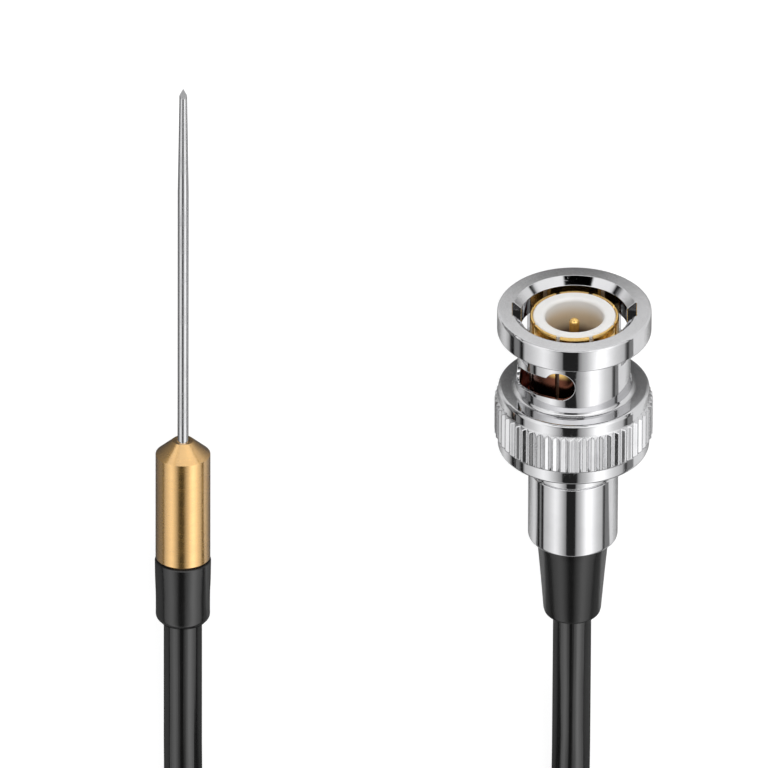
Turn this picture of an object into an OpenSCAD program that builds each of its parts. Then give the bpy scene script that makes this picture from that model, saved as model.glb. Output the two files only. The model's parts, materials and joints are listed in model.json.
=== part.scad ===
// Needle probe and bayonet plug on the two ends of one coaxial lead, lying on a flat surface.
// The origin is under the middle of the needle probe. The needle points along +Y.

/* [Needle probe] */
// Diameter of the needle's shaft
needle_d = 1.0; // [0.8:0.05:1.2]
// Length of needle that stands out of the ferrule
needle_out = 36.05; // [20:0.05:40]
// Diameter of the needle just behind its point
needle_tip_d = 0.71; // [0.5:0.01:0.8]
// Length over which the needle thins towards its point
needle_taper = 10.5; // [6:0.5:15]
// Length of the three-sided point
point_len = 0.97; // [0.6:0.01:1.5]
// Diameter of the brass ferrule
ferrule_d = 5.0; // [4.6:0.1:5.1]
// Length of the ferrule's straight part
ferrule_len = 10.8; // [8:0.1:14]
// Length of the ferrule's cone
cone_len = 1.4; // [1:0.1:2]
// Diameter of the flat face round the needle
nose_d = 1.9; // [1.6:0.1:2.4]
// Diameter of the shrink sleeve at the ferrule
sleeve_d = 5.14; // [5.1:0.01:5.5]
// Diameter of the shrink sleeve towards the cable
sleeve_rear_d = 5.02; // [4.9:0.02:5.14]
// Length of the shrink sleeve
sleeve_len = 6.25; // [5:0.05:9]

/* [Coupling nut] */
// Diameter of the front rim
rim_d = 14.0; // [13.5:0.1:14.3]
// Length of the front rim
rim_len = 2.3; // [1.8:0.1:2.8]
// Diameter of the neck that holds the bayonet slots
neck_d = 10.5; // [10.4:0.02:11.2]
// Bore that goes over the socket
bore_d = 9.86; // [9.8:0.02:9.9]
// Diameter of the two plain bands of the grip ring
band_d = 13.76; // [13.4:0.02:14]
// Depth of the grip ring's front face
ring_front = 8.24; // [8.2:0.02:8.5]
// Diameter over the knurl
knurl_d = 14.4; // [14.2:0.1:15]
// Number of ribs in the knurl
knurl_count = 57; // [40:1:72]
// Depth at which the knurl starts
knurl_start = 9.4; // [9:0.1:10]
// Depth at which the knurl ends
knurl_end = 13.3; // [12.5:0.1:13.5]
// Length of the whole nut
nut_len = 14.65; // [14.1:0.05:15]
// Width of the channel that each lug enters by
lug_channel = 2.2; // [2.1:0.1:2.6]
// Width of the bayonet slot
slot_width = 2.12; // [2.1:0.02:2.3]
// Diameter of the round hole that each lug drops into
detent_d = 2.86; // [2.4:0.02:2.9]
// Turn of the nut from entry to detent, in degrees
lock_turn = 75; // [72:0.5:90]

/* [Plug] */
// Diameter of the slotted outer contact
contact_d = 8.1; // [8.0:0.02:8.2]
// Diameter of the centre pin
pin_d = 0.94; // [0.9:0.02:1.4]
// Diameter of the hollow in the insulator
hollow_d = 5.3; // [5:0.1:5.6]
// Diameter of the rear barrel
barrel_d = 8.16; // [8.0:0.02:8.4]
// Depth at which the barrel starts
barrel_start = 17.0; // [16.5:0.1:17.5]
// Depth at which the barrel ends
barrel_end = 24.45; // [24.2:0.05:26]
// Diameter of the boot at the barrel
boot_big_d = 6.54; // [6.3:0.02:6.56]
// Diameter of the boot at the cable
boot_small_d = 5.24; // [4.6:0.02:5.6]
// Depth at which the boot ends
boot_end = 32.8; // [30:0.1:36]

/* [Lead] */
// Diameter of the coaxial cable
cable_d = 3.5; // [3.3:0.1:3.6]
// Radius of the coil's outermost turn
coil_out_r = 26.6; // [26:0.1:27]
// Distance from one turn to the next, and from layer to layer
coil_step = 4.05; // [4:0.05:4.3]

/* [Hidden] */
$fn = 96;
eps = 0.01;

brass = [0.80, 0.62, 0.33];
steel = [0.80, 0.81, 0.82];
nickel = [0.82, 0.83, 0.85];
gold = [0.87, 0.68, 0.30];
white_plastic = [0.93, 0.93, 0.91];
black_plastic = [0.06, 0.06, 0.06];
black_rubber = [0.10, 0.10, 0.10];
copper = [0.75, 0.45, 0.28];

// ---- The probe's own frame: +Z towards the point, zero at the rear end of the sleeve ----
ferrule_start = sleeve_len;
cone_start = ferrule_start + ferrule_len;
nose = cone_start + cone_len;
probe_len = nose + needle_out;
spigot_start = 3.2;
spigot_d = 4.3;
ferrule_rear_edge = [0.2, 0.25];
ferrule_bore = 3.6;
nose_hole = 1.3;
bush_end = cone_start - 1.2;
bush_start = bush_end - 4.3;
needle_root = bush_start + 1.3;
needle_root_d = 0.66;
jacket_in = 7.5;
braid_in = jacket_in + 2.5;
dielectric_d = 1.8;
conductor_d = 0.5;
press_gap = 0.02;
probe_z = sleeve_d / 2;

// ---- The plug's own frame: zero at the nut's front face, depths run along -Z ----
plug_pitch = 5.5;
plug_x = 35.5;
plug_y = 7.93;
knurl_bevel = 0.25;
// The nut stands on the rear ends of its ribs.
plug_z = (knurl_end - knurl_bevel) * sin(plug_pitch) + knurl_d / 2 * cos(plug_pitch);

lead_in = 0.66;
lead_in_d = 11.2;
channel_top_d = 11.3;
rim_soft = 0.2;
band_soft = 0.3;
neck_fillet = 0.4;
knurl_root = 0.05;
// Each lug channel opens to a window behind the rim, this far to either side.
window_end = 4.2;
window_angle = 36;
contact_wall = 0.25;
contact_front = 0.65;
contact_slots = 8;
contact_slot_w = 0.4;
contact_slot_end = 7.6;
insulator_front = 0.62;
hollow_end = 6.6;
hub_front = 8.8;
flange_front = 10.6;
flange_rear = 11.6;
flange_d = 9.7;
gasket_front = 9.9;
contact_flange_d = 8.5;
tail_d = 6.9;
tail_end = 19.0;
tail_bore = 4.4;
tail_bore_end = 13.0;
pin_front = 1.0;
pin_shoulder = 10.5;
pin_shoulder_d = 2.0;
web_front = 13.3;
web_bore = 7.0;
washer_rear = 13.25;
washer_front = 12.98;
washer_d = 9.6;
spring_wire = 0.25;
spring_in_d = 7.4;
spring_out_d = 9.4;
spring_waves = 3;
spring_steps = 48;
collar_front = 14.75;
collar_d = 8.24;
spigot_end = 24.0;
crimp_spigot_d = 4.0;
braid_front = 19.3;
braid_d = 4.6;
crimp_d = 5.8;
jacket_front = 24.8;
boot_front = 20.5;
barrel_bore = 6.6;
edge = 0.15;
barrel_soft = 0.3;

// Where a lug's middle runs: deepest at the channel, level just before the detent.
slot_level = 5.5;
slot_drop = 1.25;
slot_level_turn = 75;
detent_depth = 5.15;
slot_steps = 20;
slot_last = lock_turn + 4;
function slot_depth(turn) = slot_level + slot_drop * pow(max(0, 1 - turn / slot_level_turn), 2);

// ---- The lead's route: points chosen by hand, in the order in which the cable runs ----
coil_x = 17.75;
coil_y = -75;
coil_turns_layer = 3.5;
coil_turns = 2 * coil_turns_layer + 0.5;
coil_lift = 0.6;
coil_sides = 6;
coil_rings = 24;
run_sides = 8;
coil_low = coil_lift + cable_d / 2;
coil_high = coil_low + coil_step;
coil_in = [coil_x - coil_out_r, coil_y + cable_d, coil_low];
coil_out = [coil_x + coil_out_r, coil_y + cable_d, coil_high];
probe_exit = [0, -probe_len / 2, probe_z];
plug_exit = [plug_x, plug_y - boot_end * cos(plug_pitch), plug_z - boot_end * sin(plug_pitch)];
probe_route = [probe_exit, [0, -31, 2.5], [0, -35, 2.25], [0, -40, 1.9], [0, -45, 1.75], [-0.3, -48, 1.75],
               [-1.1, -51, 1.8], [-2.3, -54, 1.9], [-3.8, -57, 2], [-5.3, -60, 2.1], [-6.8, -63, 2.2],
               [-7.95, -66, 2.3], [-8.65, -69, 2.35], coil_in];
plug_route = [coil_out, [44.15, -69, 6.3], [43.45, -66, 5.9], [42.3, -63, 5.3], [40.8, -60, 4.5],
              [39.3, -57, 3.75], [37.8, -54, 3], [36.6, -51, 2.35], [35.8, -48, 1.9], [35.5, -45, 1.75],
              [35.5, -40, 2.2], [35.5, -35, 3.25], [35.5, -30, 4.4], plug_exit];

tie_w = 5;
tie_t = 0.5;
tie_gap = 0.35;
tie_corner = 2.5;

function unit(v) = v / norm(v);
function flat(lists) = [for (list = lists) each list];

// A coil point at t turns: in along the lower layer, up in half a turn, out along the upper one.
function climb(s) = s * s * (3 - 2 * s);
function coil_radius(t) =
    let(inner = coil_out_r - coil_step * coil_turns_layer, s = t - coil_turns_layer)
    s < 0 ? coil_out_r - coil_step * t
    : s < 0.5 ? inner + coil_step * s * (2 * s - 1)
    : inner + coil_step * (s - 0.5);
function coil_height(t) = coil_low + coil_step * climb(min(1, max(0, (t - coil_turns_layer) * 2)));
function coil_point(t) =
    [coil_x + coil_radius(t) * cos(180 + 360 * t), coil_y + coil_radius(t) * sin(180 + 360 * t), coil_height(t)];
coil_count = coil_turns * coil_rings;
coil_path = [coil_in, for (i = [0:coil_count]) coil_point(i / coil_rings), coil_out];

// One ring of a round tube: its plane stands square to the direction that the cable runs in.
function ring(centre, along, radius, sides) =
    let(side = unit(cross([0, 0, 1], along)), up = cross(along, side))
    [for (k = [0:sides - 1]) centre + radius * (cos(360 * k / sides) * side + sin(360 * k / sides) * up)];
function heading(path, i) = unit(path[min(i + 1, len(path) - 1)] - path[max(i - 1, 0)]);
// The headings at the two ends are given, so that a tube meets its neighbour square.
function tube_rings(path, first, last, sides) =
    [for (i = [0:len(path) - 1])
        ring(path[i], i == 0 ? first : i == len(path) - 1 ? last : heading(path, i), cable_d / 2, sides)];

path_length = function(path) let(steps = [for (i = [1:len(path) - 1]) norm(path[i] - path[i - 1])])
    steps * [for (step = steps) 1];
coil_gap = min([for (i = [0:coil_count]) for (j = [i + coil_rings / 2:1:coil_count])
    norm(coil_point(i / coil_rings) - coil_point(j / coil_rings))]) - cable_d;
echo(coil_least_gap = coil_gap);
echo(cable_length = path_length(probe_route) + path_length(coil_path) + path_length(plug_route));

// A solid through a row of rings, each with the same number of points, turning right-handed about
// the way the row runs. A closed one runs round to its start.
module skin(rings, closed = false) {
    n = len(rings);
    m = len(rings[0]);
    last = closed ? n - 1 : n - 2;
    walls = [for (i = [0:last]) for (k = [0:m - 1])
        let(a = i * m + k, b = i * m + (k + 1) % m, c = ((i + 1) % n) * m + k, d = ((i + 1) % n) * m + (k + 1) % m)
        each [[a, d, b], [a, c, d]]];
    caps = closed ? [] : [for (k = [1:m - 2]) each [[0, k, k + 1], [(n - 1) * m, (n - 1) * m + k + 1, (n - 1) * m + k]]];
    polyhedron(points = flat(rings), faces = concat(walls, caps));
}

// Revolves an outline of [radius, depth] points; depth runs backwards from the plug's front.
module turned(outline) {
    rotate_extrude() polygon([for (p = outline) [p[0], -p[1]]]);
}

// A plain ring between two radii and two depths.
module collar(inner, outer, front, rear) {
    turned([[inner, front], [outer, front], [outer, rear], [inner, rear]]);
}

// A ring whose two outer edges are rounded.
module soft_collar(inner, outer, front, rear, soft) {
    rotate_extrude() {
        translate([inner, -rear]) square([outer - soft - inner, rear - front]);
        translate([inner, soft - rear]) square([outer - inner, rear - front - 2 * soft]);
        for (depth = [front + soft, rear - soft]) translate([outer - soft, -depth]) circle(r = soft);
    }
}

module in_probe() {
    translate([0, -probe_len / 2, probe_z]) rotate([-90, 0, 0]) children();
}

module in_plug() {
    translate([plug_x, plug_y, plug_z]) rotate([plug_pitch - 90, 0, 0]) children();
}

// ---- Needle probe ----

// The steel needle, with a long taper and a three-sided point.
module needle() {
    r = needle_d / 2;
    tip_r = needle_tip_d / 2;
    slope = atan(tip_r / point_len);
    color(steel) in_probe() difference() {
        rotate_extrude() polygon([[0, needle_root], [needle_root_d / 2, needle_root],
                                  [needle_root_d / 2, nose], [r, nose], [r, probe_len - needle_taper],
                                  [tip_r, probe_len - point_len], [tip_r, probe_len], [0, probe_len]]);
        for (side = [0:2]) rotate([0, 0, 30 + 120 * side]) translate([0, 0, probe_len]) rotate([0, -slope, 0])
            translate([0, -needle_d, -2 * point_len]) cube([2 * needle_d, 2 * needle_d, 4 * point_len]);
    }
}

// The insulating bush that centres the needle in the ferrule.
module needle_bush() {
    r = ferrule_bore / 2 - press_gap;
    color(black_plastic) in_probe() difference() {
        translate([0, 0, bush_start]) cylinder(r = r, h = bush_end - bush_start);
        translate([0, 0, bush_start - eps]) cylinder(d = needle_root_d, h = bush_end);
        translate([0, 0, bush_start - eps]) cylinder(d = 1.5, h = needle_root - bush_start - 0.2);
    }
}

// The turned brass ferrule: cone, straight grip and the spigot that the sleeve grips.
module probe_ferrule() {
    r = ferrule_d / 2;
    color(brass) in_probe() difference() {
        rotate_extrude() polygon([[0, spigot_start], [spigot_d / 2 - edge, spigot_start],
            [spigot_d / 2, spigot_start + edge], [spigot_d / 2, ferrule_start],
            [r - ferrule_rear_edge[0], ferrule_start], [r, ferrule_start + ferrule_rear_edge[1]],
            [r, cone_start], [nose_d / 2, nose], [0, nose]]);
        translate([0, 0, spigot_start - eps]) cylinder(d = ferrule_bore, h = bush_end - spigot_start + eps);
        cylinder(d = nose_hole, h = nose + eps);
    }
}

// The shrink sleeve: thin over the spigot, drawn down on the cable, with both edges rounded.
module probe_sleeve() {
    r = sleeve_d / 2;
    rear = sleeve_rear_d / 2;
    rear_r = 0.8;
    front_r = 0.3;
    cable_r = cable_d / 2;
    color(black_plastic) in_probe() rotate_extrude() difference() {
        union() {
            square([rear - rear_r, sleeve_len]);
            translate([0, rear_r]) square([r - front_r, sleeve_len - rear_r]);
            polygon([[0, rear_r], [rear, rear_r], [r, sleeve_len - front_r], [0, sleeve_len - front_r]]);
            translate([rear - rear_r, rear_r]) circle(r = rear_r);
            translate([r - front_r, sleeve_len - front_r]) circle(r = front_r);
        }
        translate([0, -eps]) square([cable_r, sleeve_len + 1]);
        translate([0, spigot_start]) square([spigot_d / 2, sleeve_len]);
    }
}

// The braid, folded back and soldered inside the ferrule.
module probe_braid() {
    color(copper) in_probe() difference() {
        translate([0, 0, jacket_in]) cylinder(d = ferrule_bore - 2 * press_gap, h = braid_in - jacket_in);
        translate([0, 0, jacket_in - eps]) cylinder(d = dielectric_d, h = braid_in);
    }
}

module probe_dielectric() {
    color(white_plastic) in_probe() difference() {
        translate([0, 0, jacket_in]) cylinder(d = dielectric_d, h = bush_start - jacket_in);
        translate([0, 0, jacket_in - eps]) cylinder(d = conductor_d, h = bush_start);
    }
}

// The cable's copper conductor, soldered to the root of the needle.
module probe_conductor() {
    color(copper) in_probe() translate([0, 0, jacket_in]) cylinder(d = conductor_d, h = needle_root - jacket_in);
}

// The last of the cable's jacket, inside the sleeve and the ferrule.
module probe_jacket() {
    color(black_plastic) in_probe() cylinder(d = cable_d, h = jacket_in);
}

// ---- Lead ----

module cable_probe_run() {
    color(black_plastic) skin(tube_rings(probe_route, [0, -1, 0], [0, -1, 0], run_sides));
}

// Seven and a half turns in two layers, one unbroken tube with a straight end at each side.
module cable_coil() {
    color(black_plastic) skin(tube_rings(coil_path, [0, -1, 0], [0, 1, 0], coil_sides));
}

module cable_plug_run() {
    color(black_plastic) skin(tube_rings(plug_route, [0, 1, 0], [0, cos(plug_pitch), sin(plug_pitch)], run_sides));
}

// A flat strap round all the turns, on the side away from the two ends.
module coil_tie() {
    outer_turn = coil_radius(0.25) + cable_d / 2 + tie_gap;
    inner_turn = coil_radius(coil_turns_layer - 0.25) - cable_d / 2 - tie_gap;
    depth = outer_turn - inner_turn;
    height = coil_high + cable_d / 2 + tie_gap - tie_t;
    color(black_rubber) translate([coil_x + tie_w / 2, coil_y - outer_turn, tie_t]) rotate([90, 0, -90])
        mirror([1, 0, 0]) linear_extrude(tie_w) difference() {
            rounded_rect(-tie_t, -tie_t, depth + tie_t, height + tie_t, tie_corner);
            rounded_rect(0, 0, depth, height, tie_corner - tie_t);
        }
}

// A rectangle from one corner to the other with round corners, built from exact circles.
module rounded_rect(x0, y0, x1, y1, r) {
    translate([x0 + r, y0]) square([x1 - x0 - 2 * r, y1 - y0]);
    translate([x0, y0 + r]) square([x1 - x0, y1 - y0 - 2 * r]);
    for (x = [x0 + r, x1 - r]) for (y = [y0 + r, y1 - r]) translate([x, y]) circle(r = r);
}

// ---- Coupling nut and its spring ----

// Straight ribs with a sharp valley between each two, bevelled at both ends.
module knurl() {
    r = knurl_d / 2;
    low = band_d / 2 + knurl_root;
    core = low - 1;
    pitch = 360 / knurl_count;
    intersection() {
        translate([0, 0, -knurl_end]) linear_extrude(knurl_end - knurl_start)
            polygon([for (i = [0:knurl_count - 1]) each [for (p = [[r, -0.04], [r, 0.04], [low, 0.5]])
                p[0] * [cos(pitch * (i + p[1]) + 90), sin(pitch * (i + p[1]) + 90)]]]);
        turned([[core, knurl_start], [low - 0.1, knurl_start], [r + eps, knurl_start + knurl_bevel],
            [r + eps, knurl_end - knurl_bevel], [low - 0.1, knurl_end], [core, knurl_end]]);
    }
}

// The channel down from the mouth with its window, the ramp and the detent hole for one lug.
module bayonet_slot() {
    inner = bore_d / 2 - 0.5;
    outer = neck_d / 2 + 0.5;
    translate([0, -lug_channel / 2, -slot_depth(0)]) cube([channel_top_d / 2, lug_channel, slot_depth(0) + eps]);
    translate([0, 0, -window_end]) linear_extrude(window_end - rim_len)
        polygon([[0, 0], for (side = [-1, 1]) outer * [1, side * tan(window_angle)]]);
    skin([for (i = [0:slot_steps])
        let(turn = slot_last * i / slot_steps, mid = slot_depth(turn), front = slot_width / 2 - mid,
            rear = -slot_width / 2 - mid, x = cos(turn), y = sin(turn))
        [[inner * x, inner * y, rear], [inner * x, inner * y, front],
         [outer * x, outer * y, front], [outer * x, outer * y, rear]]]);
    translate([0, 0, -slot_depth(0)]) rotate([0, 90, 0]) cylinder(d = lug_channel, h = outer + 1);
    rotate([0, 0, lock_turn]) translate([0, 0, -detent_depth]) rotate([0, 90, 0])
        cylinder(d = detent_d, h = outer + 1);
}

// The nut: rim, neck with two bayonet slots, grip ring and the web that the spring pushes on.
module coupling_nut() {
    mouth = lead_in_d / 2;
    neck = neck_d / 2;
    bore = bore_d / 2;
    web = web_bore / 2;
    color(nickel) in_plug() difference() {
        union() {
            turned([[mouth, 0], [mouth + 0.3, 0], [mouth + 0.3, rim_len], [neck, rim_len], [neck, nut_len],
                [web, nut_len], [web, web_front], [bore, web_front], [bore, lead_in]]);
            soft_collar(mouth + 0.2, rim_d / 2, 0, rim_len, rim_soft);
            soft_collar(neck - 0.1, band_d / 2, ring_front, nut_len, band_soft);
            translate([0, 0, -ring_front]) rotate_extrude() difference() {
                translate([neck - 0.1, -0.1]) square(neck_fillet + 0.1);
                translate([neck + neck_fillet, neck_fillet]) circle(r = neck_fillet);
            }
            knurl();
        }
        bayonet_slot();
        rotate([0, 0, 180]) bayonet_slot();
    }
}

// The flat washer between the spring and the nut's web; it slides with the nut and doesn't turn.
module thrust_washer() {
    color(steel) in_plug() collar(web_bore / 2, washer_d / 2, washer_front, washer_rear);
}

// The wave spring between the body's flange and the washer.
module wave_spring() {
    middle = (flange_rear + washer_front) / 2;
    lift = (washer_front - flange_rear - spring_wire) / 2 - 0.05;
    inner = spring_in_d / 2;
    outer = spring_out_d / 2;
    color(steel) in_plug() skin([for (i = [0:spring_steps - 1])
        let(turn = 360 * i / spring_steps, z = -middle + lift * cos(spring_waves * turn),
            x = cos(turn), y = sin(turn), low = z - spring_wire / 2, high = z + spring_wire / 2)
        [[inner * x, inner * y, low], [inner * x, inner * y, high],
         [outer * x, outer * y, high], [outer * x, outer * y, low]]], closed = true);
}

// ---- Plug ----

// The body: hub for the contact, flange, tail for the collar and barrel, grooved crimp spigot.
module plug_body() {
    grooves = 6;
    groove_step = (spigot_end - braid_front - 0.4) / grooves;
    hub = contact_d / 2 - contact_wall;
    color(nickel) in_plug() difference() {
        turned([[0, hub_front], [hub, hub_front], [hub, flange_front], [flange_d / 2, flange_front],
            [flange_d / 2, flange_rear], [tail_d / 2, flange_rear], [tail_d / 2, tail_end],
            [crimp_spigot_d / 2, tail_end], [crimp_spigot_d / 2, spigot_end], [0, spigot_end]]);
        collar(0, tail_bore / 2, hub_front - eps, tail_bore_end);
        collar(0, dielectric_d / 2 + press_gap, hub_front, spigot_end + eps);
        for (i = [0:grooves - 1]) let(z = braid_front + 0.2 + groove_step * i)
            collar(crimp_spigot_d / 2 - 0.12, crimp_spigot_d, z, z + groove_step / 2);
    }
}

// The gold-plated outer contact, slotted so that its fingers spring against the socket, with a
// small flange that seats on the body inside the gasket.
module outer_contact() {
    r = contact_d / 2;
    color(gold) in_plug() difference() {
        turned([[r - contact_wall, contact_front], [r - contact_wall / 3, contact_front],
            [r, contact_front + 0.2], [r, gasket_front], [contact_flange_d / 2, gasket_front],
            [contact_flange_d / 2, flange_front], [r - contact_wall, flange_front]]);
        for (i = [0:contact_slots - 1]) rotate([0, 0, (i + 0.5) * 360 / contact_slots])
            translate([0, -contact_slot_w / 2, -contact_slot_end]) cube([r + 1, contact_slot_w, contact_slot_end]);
    }
}

// The insulator: a cup round the pin, with a softly rounded mouth and a tail in the body.
module insulator() {
    r = contact_d / 2 - contact_wall - press_gap;
    lip = 0.35;
    color(white_plastic) in_plug() difference() {
        turned([[0, insulator_front], [r - lip / 3, insulator_front], [r, insulator_front + lip / 3],
            [r, hub_front], [tail_bore / 2 - press_gap, hub_front],
            [tail_bore / 2 - press_gap, tail_bore_end], [0, tail_bore_end]]);
        translate([0, 0, -insulator_front]) rotate_extrude() difference() {
            translate([0, -lip]) square([hollow_d / 2 + lip, lip + eps]);
            translate([hollow_d / 2 + lip, -lip]) circle(r = lip);
        }
        collar(0, hollow_d / 2, insulator_front, hollow_end);
        collar(0, pin_d / 2 + press_gap, insulator_front, tail_bore_end);
        collar(0, pin_shoulder_d / 2 + press_gap, pin_shoulder - press_gap, tail_bore_end + eps);
    }
}

// The gold-plated pin, with a round tip and a shoulder that takes the conductor.
module centre_pin() {
    r = pin_d / 2;
    color(gold) in_plug() difference() {
        union() {
            translate([0, 0, -pin_front - r]) sphere(r = r);
            collar(0, r, pin_front + r, pin_shoulder);
            collar(0, pin_shoulder_d / 2, pin_shoulder, tail_bore_end);
        }
        collar(0, conductor_d / 2 + press_gap, pin_shoulder + 0.7, tail_bore_end + eps);
    }
}

module gasket() {
    r = contact_flange_d / 2;
    outer = flange_d / 2 - press_gap;
    soft = 0.2;
    color([0.75, 0.32, 0.22]) in_plug() turned([[r, gasket_front], [outer - soft, gasket_front],
        [outer, gasket_front + soft], [outer, flange_front], [r, flange_front]]);
}

// The collar pressed on the tail, which keeps the nut on the body.
module retaining_collar() {
    color(nickel) in_plug() soft_collar(tail_d / 2, collar_d / 2, collar_front, barrel_start, edge);
}

// The plain barrel over the tail and the crimp.
module barrel() {
    color(nickel) in_plug() {
        turned([[tail_d / 2, barrel_start], [barrel_d / 2 - edge, barrel_start], [barrel_d / 2, barrel_start + edge],
            [barrel_d / 2, tail_end + 1], [barrel_bore / 2, tail_end + 1], [barrel_bore / 2, tail_end],
            [tail_d / 2, tail_end]]);
        soft_collar(barrel_bore / 2, barrel_d / 2, tail_end, barrel_end, barrel_soft);
    }
}

// The crimp sleeve, pressed to a hexagon over the braid.
module crimp_sleeve() {
    color(nickel) in_plug() difference() {
        translate([0, 0, -spigot_end]) cylinder(d = crimp_d, h = spigot_end - braid_front, $fn = 6);
        collar(0, braid_d / 2, braid_front - eps, spigot_end + eps);
    }
}

// The boot: a nose over the crimp, then a long taper down to the cable.
module boot() {
    big = boot_big_d / 2;
    small = boot_small_d / 2;
    round_r = 0.3;
    color(black_rubber) in_plug() difference() {
        union() {
            turned([[0, boot_front], [big, boot_front], [big, barrel_end], [small, boot_end - round_r],
                [small - round_r, boot_end], [0, boot_end]]);
            translate([0, 0, round_r - boot_end]) rotate_extrude() translate([small - round_r, 0]) circle(r = round_r);
        }
        collar(0, crimp_d / 2 + press_gap, boot_front - eps, spigot_end + 0.1);
        collar(0, braid_d / 2, boot_front, jacket_front);
        collar(0, cable_d / 2, jacket_front - eps, boot_end + eps);
    }
}

// The braid, spread over the spigot and drawn in again at the jacket.
module plug_braid() {
    low = dielectric_d / 2 + press_gap;
    color(copper) in_plug() turned([[crimp_spigot_d / 2, braid_front], [braid_d / 2, braid_front],
        [braid_d / 2, spigot_end], [low + 0.35, jacket_front], [low, jacket_front], [low, spigot_end],
        [crimp_spigot_d / 2, spigot_end]]);
}

module plug_dielectric() {
    color(white_plastic) in_plug() collar(conductor_d / 2, dielectric_d / 2, tail_bore_end, jacket_front);
}

module plug_conductor() {
    color(copper) in_plug() collar(0, conductor_d / 2, pin_shoulder + 0.8, jacket_front);
}

// The last of the cable's jacket, inside the boot.
module plug_jacket() {
    color(black_plastic) in_plug() collar(0, cable_d / 2, jacket_front, boot_end);
}

needle();
needle_bush();
probe_ferrule();
probe_sleeve();
probe_braid();
probe_dielectric();
probe_conductor();
probe_jacket();
cable_probe_run();
cable_coil();
cable_plug_run();
coil_tie();
coupling_nut();
thrust_washer();
wave_spring();
plug_body();
outer_contact();
insulator();
centre_pin();
gasket();
retaining_collar();
barrel();
crimp_sleeve();
boot();
plug_braid();
plug_dielectric();
plug_conductor();
plug_jacket();
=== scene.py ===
"""Finishes for a coaxial lead with a needle probe on one end and a bayonet plug on the other."""

import json
import math

import bpy
from mathutils import Euler, Matrix, Vector


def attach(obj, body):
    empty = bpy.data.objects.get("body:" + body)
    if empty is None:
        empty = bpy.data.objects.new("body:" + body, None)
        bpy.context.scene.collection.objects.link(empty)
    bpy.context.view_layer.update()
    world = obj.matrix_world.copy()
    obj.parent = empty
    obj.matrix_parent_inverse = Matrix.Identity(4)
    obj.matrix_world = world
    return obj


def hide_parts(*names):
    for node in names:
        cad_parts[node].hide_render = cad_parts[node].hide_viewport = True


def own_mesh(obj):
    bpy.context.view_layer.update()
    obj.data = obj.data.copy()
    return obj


MM = 0.001

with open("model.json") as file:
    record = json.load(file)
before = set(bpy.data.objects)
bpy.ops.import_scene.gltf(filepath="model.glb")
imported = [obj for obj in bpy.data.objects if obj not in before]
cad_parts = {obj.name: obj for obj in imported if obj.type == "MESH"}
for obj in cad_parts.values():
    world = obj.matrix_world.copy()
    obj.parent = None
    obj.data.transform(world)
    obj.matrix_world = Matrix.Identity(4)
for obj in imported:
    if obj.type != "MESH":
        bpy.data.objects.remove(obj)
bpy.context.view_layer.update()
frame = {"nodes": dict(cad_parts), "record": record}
nodes_of_part = frame["nodes"]

# ---------------------------------------------------------------- Where things are, in millimetres

# The needle probe stands along Z in its own frame, with zero at the rear end of its sleeve.
PROBE_END = Vector((0.0, -27.25, 2.57))
PROBE_TURN = (math.radians(-90.0), 0.0, 0.0)
SLEEVE_LENGTH = 6.25
SPIGOT_START = 3.2

# The plug's own frame has its zero in the nut's front face. Depths run back from there, along -Z.
PLUG_PITCH = math.radians(5.5)
PLUG_FACE = Vector((35.5, 7.93, 8.4176))
PLUG_TURN = (PLUG_PITCH - math.radians(90.0), 0.0, 0.0)
PLUG_AXIS = Vector((0.0, math.cos(PLUG_PITCH), math.sin(PLUG_PITCH)))
BOOT_START = 20.5
CRIMP_END = 24.1
JACKET_START = 24.8
BARREL_END = 24.45
BOOT_END = 32.8

CABLE_D = 3.5
COIL_MIDDLE = Vector((17.75, -75.0, 0.0))
COIL_OUT_R = 26.6
COIL_STEP = 4.05
COIL_LAYER_TURNS = 3.5
COIL_TURNS = 7.5
# Height of the cable's middle in the lower layer, with the strap under it.
COIL_LOW = 2.35


def in_plug(x, y, depth):
    """A point given in the plug's own frame, with its depth behind the nut's front face."""
    turn = Euler(PLUG_TURN).to_matrix()
    return PLUG_FACE + turn @ Vector((x, y, -depth))


# ---------------------------------------------------------------- Camera

VIEW_TARGET = Vector((18.27, -2.947, 2.57)) * MM
# From the target back to the camera: 62 degrees up, on the side that the needle points to.
VIEW_BACK = Vector((0.0, 0.4695, 0.8829)).normalized()
VIEW_DISTANCE = 3.1
VIEW_LENS = 1598.4
VIEW_ROLL = math.radians(0.22)


def set_camera():
    """A long lens above the point end, looking down along the probe and the plug."""
    data = bpy.data.cameras.new("camera")
    data.lens = VIEW_LENS
    data.sensor_width = 36.0
    data.clip_start = 0.1
    data.clip_end = 20.0
    camera = bpy.data.objects.new("camera", data)
    bpy.context.scene.collection.objects.link(camera)
    right = Matrix.Rotation(VIEW_ROLL, 3, VIEW_BACK) @ Vector((1.0, 0.0, 0.0))
    up = VIEW_BACK.cross(right)
    place = Matrix((right, up, VIEW_BACK)).transposed().to_4x4()
    place.translation = VIEW_TARGET + VIEW_BACK * VIEW_DISTANCE
    camera.matrix_world = place
    bpy.context.scene.camera = camera


set_camera()

# ---------------------------------------------------------------- The lead's route


def coil_radius(turns):
    """In along the lower layer, a half turn while it climbs, and out along the upper layer."""
    inner = COIL_OUT_R - COIL_STEP * COIL_LAYER_TURNS
    s = turns - COIL_LAYER_TURNS
    if s < 0:
        return COIL_OUT_R - COIL_STEP * turns
    if s < 0.5:
        return inner + COIL_STEP * s * (2 * s - 1)
    return inner + COIL_STEP * (s - 0.5)


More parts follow.
